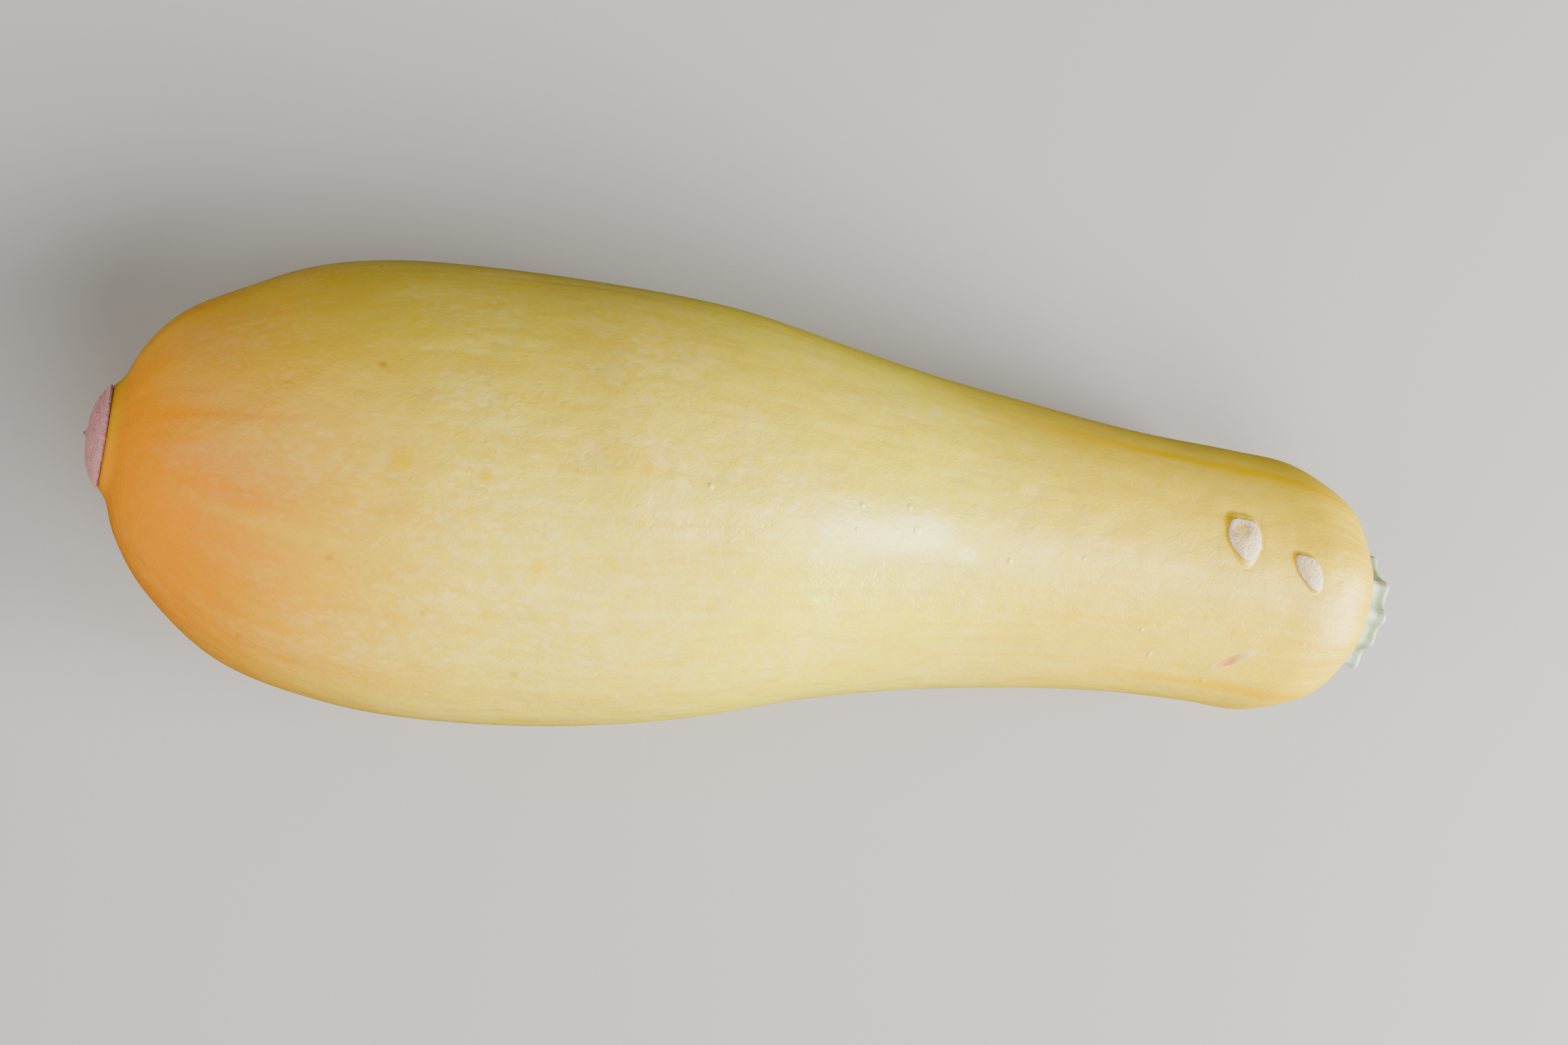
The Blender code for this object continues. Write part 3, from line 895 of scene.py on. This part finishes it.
def stem_material(stem):
    """Ridged green flesh on the side, and the cut face with its ring of bundles."""
    paint = Finish("stem_stub_flesh")
    ridge = paint.number("ridge")
    cut = paint.number("cut")
    place = paint.mark("stem_place")
    distance, _, _ = paint.parts(place)
    reach = paint.vector("LENGTH", paint.scaled(place, 0.0, 1.0), output="Value")

    # Side: yellow-green in the groove at the fruit, pale further out and on the ridges, partly
    # waxy bloom and partly painted highlight
    fibres = paint.noise(paint.scaled(place, 0.35, 1.6), 3.0, 0.6)
    cloudy = paint.noise(paint.scaled(place, 0.5, 0.5), 2.0)
    paint.colour = paint.mix(paint.step(distance, 0.9, 3.2), stem.groove, stem.flesh)
    waxy_and_painted_highlight = paint.step(ridge + (cloudy - 0.5) * 0.9, 0.35, 0.95) * paint.step(distance, 0.2, 1.6)
    paint.cover(waxy_and_painted_highlight * 0.85, stem.ridge)
    paint.cover(paint.step(fibres, 0.5, 0.75) * 0.5, stem.groove)
    paint.cover(paint.step(fibres, 0.45, 0.25) * 0.5, stem.ridge)
    paint.cover(paint.step(cloudy, 0.56, 0.7) * 0.35, stem.dry)

    # Cut face: moist flesh with a ring of bundles, a paler pith and a dried edge
    cells = paint.add("ShaderNodeTexVoronoi", {"feature": "F1"}, {"Vector": place, "Scale": 0.75})
    ring = paint.step(abs(reach - BUNDLE_RING), 1.3, 0.5)
    face = paint.mix(paint.step(reach, 4.6, 3.2), stem.face, stem.pith)
    face = paint.mix(ring * paint.step(cells, 0.6, 0.35) * 0.8, face, stem.groove)
    face = paint.mix(paint.step(fibres, 0.4, 0.7) * 0.3, face, stem.groove)
    face = paint.mix(paint.step(reach, 6.6, 7.6) * 0.6, face, stem.dry)
    paint.cover(paint.step(cut, 0.0, 0.5), face)
    paint.surface(
        Base_Color=paint.colour,
        Roughness=0.55 - cut * 0.2,
        Specular_IOR_Level=0.35,
        Normal=paint.bump(fibres * 0.2 + cut * ring * cells * 0.25),
    )
    return paint.material


def cork_surface(cork):
    """The blossom scar on a grid of shares of its radius and angles round it.

    Height = rim + (bulge - rim) * (1 - share ** flatness) ** shoulder + bells for the nub and the
    dry thread on it + low seeded fibres that run round. The rim's radius is ragged."""
    slope = np.linspace(0, 0.5 * math.pi, cork.rings + 1)[1:-1]
    share = np.concatenate([np.ones(len(RIM_RINGS) + 1), np.cos(slope)])[:, None]
    angle = angles(cork.points_round)[None, :]
    dome = (SCAR_BULGE - SCAR_RIM) * np.clip(1 - share**DOME_FLATNESS, 0, 1) ** DOME_SHOULDER
    nub = NUB_HEIGHT * np.exp(-((share * SCAR_RADIUS / NUB_RADIUS) ** 2))
    thread = THREAD_HEIGHT * np.exp(-((share * SCAR_RADIUS / THREAD_RADIUS) ** 2))
    height = SCAR_RIM + dome + nub + thread + 0 * angle
    draw = np.random.default_rng(CORK_SEED)
    fibres, ragged = 0 * height, 0 * angle
    for _ in range(FIBRE_WAVES):
        spacing, turn, swing = draw.uniform(*FIBRE_SPACING), *draw.uniform(0, 2 * math.pi, 2)
        lobes, size = draw.integers(*FIBRE_LOBES), draw.uniform(0.5, 1.0)
        bend = size * np.cos(lobes * angle + swing)
        outwards = 2 * math.pi * share * SCAR_RADIUS / spacing
        fibres = fibres + np.cos(outwards + turn + 2.0 * bend) * size
        ragged = ragged + np.cos(draw.integers(*RAGGED_LOBES) * angle + turn) * size / 3
    height = height + FIBRE_HEIGHT / 3 * fibres * np.clip((1 - share) * 8, 0, 1)
    reach = SCAR_RADIUS * share + 0 * angle
    for ring, (rise, part) in enumerate(RIM_RINGS):
        height[ring], reach[ring] = rise, reach[ring] * part
    dome_rings = slice(len(RIM_RINGS), None)
    reach[dome_rings] += RAGGED * ragged * np.clip(share[dome_rings] * 5 - 4, 0, 1)
    centre, left, up, out = end_frame(0.0, -1)
    across = np.cos(angle)[..., None] * left + np.sin(angle)[..., None] * up
    points = centre + height[..., None] * out + reach[..., None] * across
    return points[:, ::-1], straightened(height, reach, angle)[:, ::-1]


def cork_material(cork):
    """Dry pinkish fibres that run round the scar, with bleached specks and rim."""
    paint = Finish("blossom_scar_cork")
    place = paint.mark("cork_place")
    flat = paint.scaled(place, 0.0, 1.0)
    reach = paint.vector("LENGTH", flat, output="Value")
    round_way = paint.scaled(paint.vector("NORMALIZE", flat), 2.2, 2.2)
    outwards = paint.add("ShaderNodeCombineXYZ", inputs={0: reach * 3.6})
    fibre = paint.noise(paint.vector("ADD", round_way, outwards), 4.0, 0.65)
    grains = paint.noise(paint.scaled(place, 4.0, 4.0), 3.0, 0.6)
    mottle = paint.noise(paint.scaled(place, 0.7, 0.7), 2.0)
    paint.colour = paint.mix(paint.step(fibre, 0.3, 0.7), cork.dark, cork.light)
    paint.cover(paint.step(mottle, 0.45, 0.7) * 0.45, cork.mauve)
    paint.cover(paint.step(grains, 0.48, 0.66) * 0.6, cork.pale)
    paint.cover(paint.step(reach, 5.2, 6.1) * 0.45, cork.pale)
    paint.surface(
        Base_Color=paint.colour,
        Roughness=0.8,
        Specular_IOR_Level=0.25,
        Normal=paint.bump(fibre * 0.5 + grains * 0.4),
    )
    return paint.material


def camera_axes():
    """The camera's right, up and forward unit vectors.

    Forward leans from straight down towards the heading by the tilt, and right and up are turned
    about it by the roll."""
    tilt, roll, heading = (math.radians(a) for a in (CAMERA_TILT, CAMERA_ROLL, CAMERA_HEADING))
    ahead = np.array([math.cos(heading), math.sin(heading), 0.0])
    upright = np.array([0.0, 0.0, 1.0])
    forward = math.sin(tilt) * ahead - math.cos(tilt) * upright
    level = math.cos(tilt) * ahead + math.sin(tilt) * upright
    side = np.cross(upright, ahead)
    right = math.cos(roll) * level + math.sin(roll) * side
    up = math.cos(roll) * side - math.sin(roll) * level
    return right, up, forward


def add_camera():
    """The camera of the photograph, as the scene's own."""
    right, up, forward = camera_axes()
    looks_at = (np.array(LOOKS_AT) + np.array(BLOSSOM_END)) * MM
    data = bpy.data.cameras.new("photo_camera")
    data.lens, data.sensor_width = CAMERA_LENS, CAMERA_SENSOR
    camera = bpy.data.objects.new("photo_camera", data)
    bpy.context.collection.objects.link(camera)
    turn = Matrix(np.stack([right, up, -forward], axis=1).tolist()).to_4x4()
    camera.matrix_world = Matrix.Translation(looks_at - CAMERA_DISTANCE * MM * forward) @ turn
    bpy.context.scene.camera = camera


def add_softbox(name, azimuth, elevation, width, height, in_gloss, power):
    """An area light one metre off that faces the squash from this direction, in degrees."""
    turn, rise = math.radians(azimuth), math.radians(elevation)
    level = math.cos(rise)
    towards = Vector((math.cos(turn) * level, math.sin(turn) * level, math.sin(rise)))
    data = bpy.data.lights.new(name, "AREA")
    data.shape, data.size, data.size_y = "ELLIPSE", width, height
    data.energy = power
    light = bpy.data.objects.new(name, data)
    light.location = towards
    light.visible_glossy = in_gloss
    light.rotation_euler = towards.to_track_quat("Z", "Y").to_euler()
    bpy.context.collection.objects.link(light)


def floor_material(stage):
    """Plain and pale, with very faint clouds."""
    paint = Finish("studio_floor")
    place = paint.add("ShaderNodeTexCoord", output="Object")
    cloudy = paint.noise(paint.scaled(place, 6.0, 6.0), 2.0)
    shade = tuple(0.97 * c for c in stage.floor)
    paint.surface(Base_Color=paint.mix(cloudy, shade, stage.floor), Roughness=0.7)
    return paint.material


def colour_property(name, description, default):
    return FloatVectorProperty(
        name=name, description=description, subtype="COLOR", size=3, min=0, max=1, default=default
    )


def length_property(name, description, default):
    return FloatProperty(
        name=name, description=description, default=default, unit="LENGTH", precision=5
    )


def count_property(name, description, default, least):
    return IntProperty(name=name, description=description, default=default, min=least)


def power_property(name, description, default):
    return FloatProperty(name=name, description=description, default=default, unit="POWER")


class SkinSettings(bpy.types.PropertyGroup):
    """Fineness, relief and colours of the fruit's skin."""

    ring_step: length_property(
        "Ring step", "Distance between rings of points in the middle of the fruit", 0.00078
    )
    points_round: count_property("Points round", "Points in each ring of the fruit", 286, 24)
    rib_height: length_property("Rib height", "Height of the low ribs near the stem", 0.00035)
    lump_height: length_property("Lump height", "Height of the broad uneven lumps", 0.00015)
    lemon: colour_property("Lemon", "Ground colour of the skin", (0.82, 0.645, 0.10))
    pale: colour_property("Pale", "Paler ground in the middle of the fruit", (0.90, 0.775, 0.085))
    dull: colour_property("Dull", "Duller clouds in the ground", (0.74, 0.55, 0.12))
    warm: colour_property("Warm", "Warmer cast at the stem end", (0.87, 0.60, 0.03))
    gold: colour_property("Gold", "Deeper lanes and dashes", (0.80, 0.58, 0.06))
    # Also the colour of the painted highlight on the pimples and glossy spots
    cream_and_painted_highlight: colour_property("Cream", "Pale clouds and lanes", (0.92, 0.77, 0.22))
    fleck: colour_property("Fleck", "Pale flecks", (0.93, 0.75, 0.36))
    amber: colour_property("Amber", "Where the blush fades into the lemon", (0.85, 0.50, 0.06))
    blush: colour_property("Blush", "Orange at the blossom end", (0.87, 0.325, 0.025))
    # The colour of a painted reflection in the blush
    tan: colour_property("Tan", "Pinkish tan patch in the blush", (0.77, 0.38, 0.14))
    pink: colour_property("Pink", "Flecks in the blush", (0.87, 0.43, 0.10))
    # Also the colour of the painted shadow left of the scabs
    streak: colour_property("Streak", "Golden streaks and spots", (0.87, 0.55, 0.01))
    # Also the colour of the painted shade left of the scabs and at the cork's rim
    brown: colour_property("Brown", "Specks and outlines of scabs", (0.55, 0.27, 0.03))
    green: colour_property("Green", "Tinge at the rim of the blossom end", (0.58, 0.43, 0.04))
    crust: colour_property("Crust", "Crust of the scabs", (0.84, 0.63, 0.33))
    # Also the colour of the painted highlight on the scabs' lower right
    chalk_and_painted_highlight: colour_property("Chalk", "Whitish parts of the crust", (0.92, 0.85, 0.80))
    window: colour_property("Window", "Thin patch in the first scab", (0.80, 0.60, 0.20))
    scratch: colour_property("Scratch", "Orange-brown middle of the scratch", (0.70, 0.36, 0.07))
    healed: colour_property("Healed", "Pale skin round the scratch", (0.90, 0.68, 0.38))


class StemSettings(bpy.types.PropertyGroup):
    """Fineness and colours of the stem stub."""

    rings_between: count_property(
        "Rings between", "Rings between two stations of the profile", 9, 2
    )
    points_round: count_property("Points round", "Points in each ring of the stem", 360, 24)
    groove: colour_property("Groove", "Yellow-green beside the fruit", (0.46, 0.52, 0.10))
    flesh: colour_property("Flesh", "Pale green side", (0.45, 0.60, 0.38))
    # Also the colour of the painted highlight on the ridges
    ridge: colour_property("Ridge", "Pale waxy ridges", (0.62, 0.70, 0.66))
    dry: colour_property("Dry", "Dried patches and edge", (0.46, 0.42, 0.24))
    face: colour_property("Face", "Moist cut face", (0.52, 0.60, 0.30))
    pith: colour_property("Pith", "Pale pith in the middle", (0.66, 0.68, 0.46))


class CorkSettings(bpy.types.PropertyGroup):
    """Fineness and colours of the blossom scar."""

    rings: count_property("Rings", "Rings of points on the dome", 70, 6)
    points_round: count_property("Points round", "Points in each ring of the dome", 300, 24)
    dark: colour_property("Dark", "Hollows between the fibres", (0.56, 0.28, 0.25))
    light: colour_property("Light", "Dry fibres", (0.76, 0.37, 0.38))
    mauve: colour_property("Mauve", "Patches with a mauve cast", (0.68, 0.33, 0.36))
    pale: colour_property("Pale", "Bleached specks and rim", (0.85, 0.49, 0.48))


class StageSettings(bpy.types.PropertyGroup):
    """Floor and light."""

    floor_width: length_property("Floor width", "Side of the square floor", 30.0)
    floor: colour_property("Floor", "Plain pale floor", (0.48, 0.47, 0.455))
    window: power_property("Window", "Power of the large light at the stem", 17.8)
    side: power_property("Side", "Power of the light at the near side", 5.0)
    glint: power_property("Glint", "Power of the light that shows in the skin", 4.3)
    top: power_property("Top", "Power of the light overhead", 1.6)
    far: power_property("Far", "Power of the light at the blossom end", 7.0)
    sky: FloatProperty(
        name="Sky", description="Brightness of the light from all round", default=0.06, min=0
    )


class SQUASH_OT_fruit(bpy.types.Operator):
    """Build the fruit with its skin"""

    bl_idname = "squash.fruit"
    bl_label = "Fruit"

    def execute(self, context):
        skin = context.scene.squash_skin
        points, straight = fruit_surface(skin)
        mesh = surface_mesh("fruit_skin", points, {"skin_place": straight})
        add_piece("fruit_skin", mesh, skin_material(skin), "fruit")
        return {"FINISHED"}


class SQUASH_OT_stem(bpy.types.Operator):
    """Build the cut stub of the stem"""

    bl_idname = "squash.stem"
    bl_label = "Stem stub"

    def execute(self, context):
        stem = context.scene.squash_stem
        points, place, ridges, cut = stem_surface(stem)
        marks = {"stem_place": place, "ridge": ridges, "cut": cut}
        mesh = surface_mesh("stem_flesh", points, marks)
        add_piece("stem_flesh", mesh, stem_material(stem), "stem_stub")
        return {"FINISHED"}


class SQUASH_OT_cork(bpy.types.Operator):
    """Build the corky blossom scar"""

    bl_idname = "squash.cork"
    bl_label = "Blossom scar"

    def execute(self, context):
        cork = context.scene.squash_cork
        points, place = cork_surface(cork)
        mesh = surface_mesh("blossom_cork", points, {"cork_place": place})
        add_piece("blossom_cork", mesh, cork_material(cork), "blossom_scar")
        return {"FINISHED"}


class SQUASH_OT_stage(bpy.types.Operator):
    """Set up the floor, the light and the camera"""

    bl_idname = "squash.stage"
    bl_label = "Stage"

    def execute(self, context):
        stage = context.scene.squash_stage
        bpy.ops.mesh.primitive_plane_add(size=stage.floor_width)
        floor = context.object
        floor.name = "studio_floor"
        floor.data.materials.append(floor_material(stage))
        floor.visible_glossy = False
        for name, *placed in SOFTBOXES:
            add_softbox(name, *placed, getattr(stage, name))
        world = bpy.data.worlds.new("studio")
        world.use_nodes = True
        sky = world.node_tree.nodes["Background"].inputs
        sky["Color"].default_value, sky["Strength"].default_value = (1, 1, 1, 1), stage.sky
        context.scene.world = world
        context.scene.view_settings.view_transform = "AgX"
        context.scene.view_settings.look = "AgX - Medium High Contrast"
        add_camera()
        return {"FINISHED"}


class SQUASH_PT_panel(bpy.types.Panel):
    """The squash's pieces and their settings"""

    bl_label = "Yellow squash"
    bl_idname = "SQUASH_PT_panel"
    bl_space_type = "VIEW_3D"
    bl_region_type = "UI"
    bl_category = "Squash"

    def draw(self, context):
        for (name, _), operator in zip(SETTINGS, OPERATORS):
            box = self.layout.box()
            settings = getattr(context.scene, name)
            for field in settings.bl_rna.properties.keys()[2:]:
                box.prop(settings, field)
            box.operator(operator.bl_idname)


SETTINGS = (
    ("squash_skin", SkinSettings),
    ("squash_stem", StemSettings),
    ("squash_cork", CorkSettings),
    ("squash_stage", StageSettings),
)
OPERATORS = (SQUASH_OT_fruit, SQUASH_OT_stem, SQUASH_OT_cork, SQUASH_OT_stage)


def register():
    for name, group in SETTINGS:
        bpy.utils.register_class(group)
        setattr(bpy.types.Scene, name, PointerProperty(type=group))
    for made in (*OPERATORS, SQUASH_PT_panel):
        bpy.utils.register_class(made)


def unregister():
    for made in (SQUASH_PT_panel, *reversed(OPERATORS)):
        bpy.utils.unregister_class(made)
    for name, group in reversed(SETTINGS):
        delattr(bpy.types.Scene, name)
        bpy.utils.unregister_class(group)


def main():
    register()
    bpy.ops.squash.fruit()
    bpy.ops.squash.stem()
    bpy.ops.squash.cork()
    bpy.ops.squash.stage()


if __name__ == "__main__":
    main()
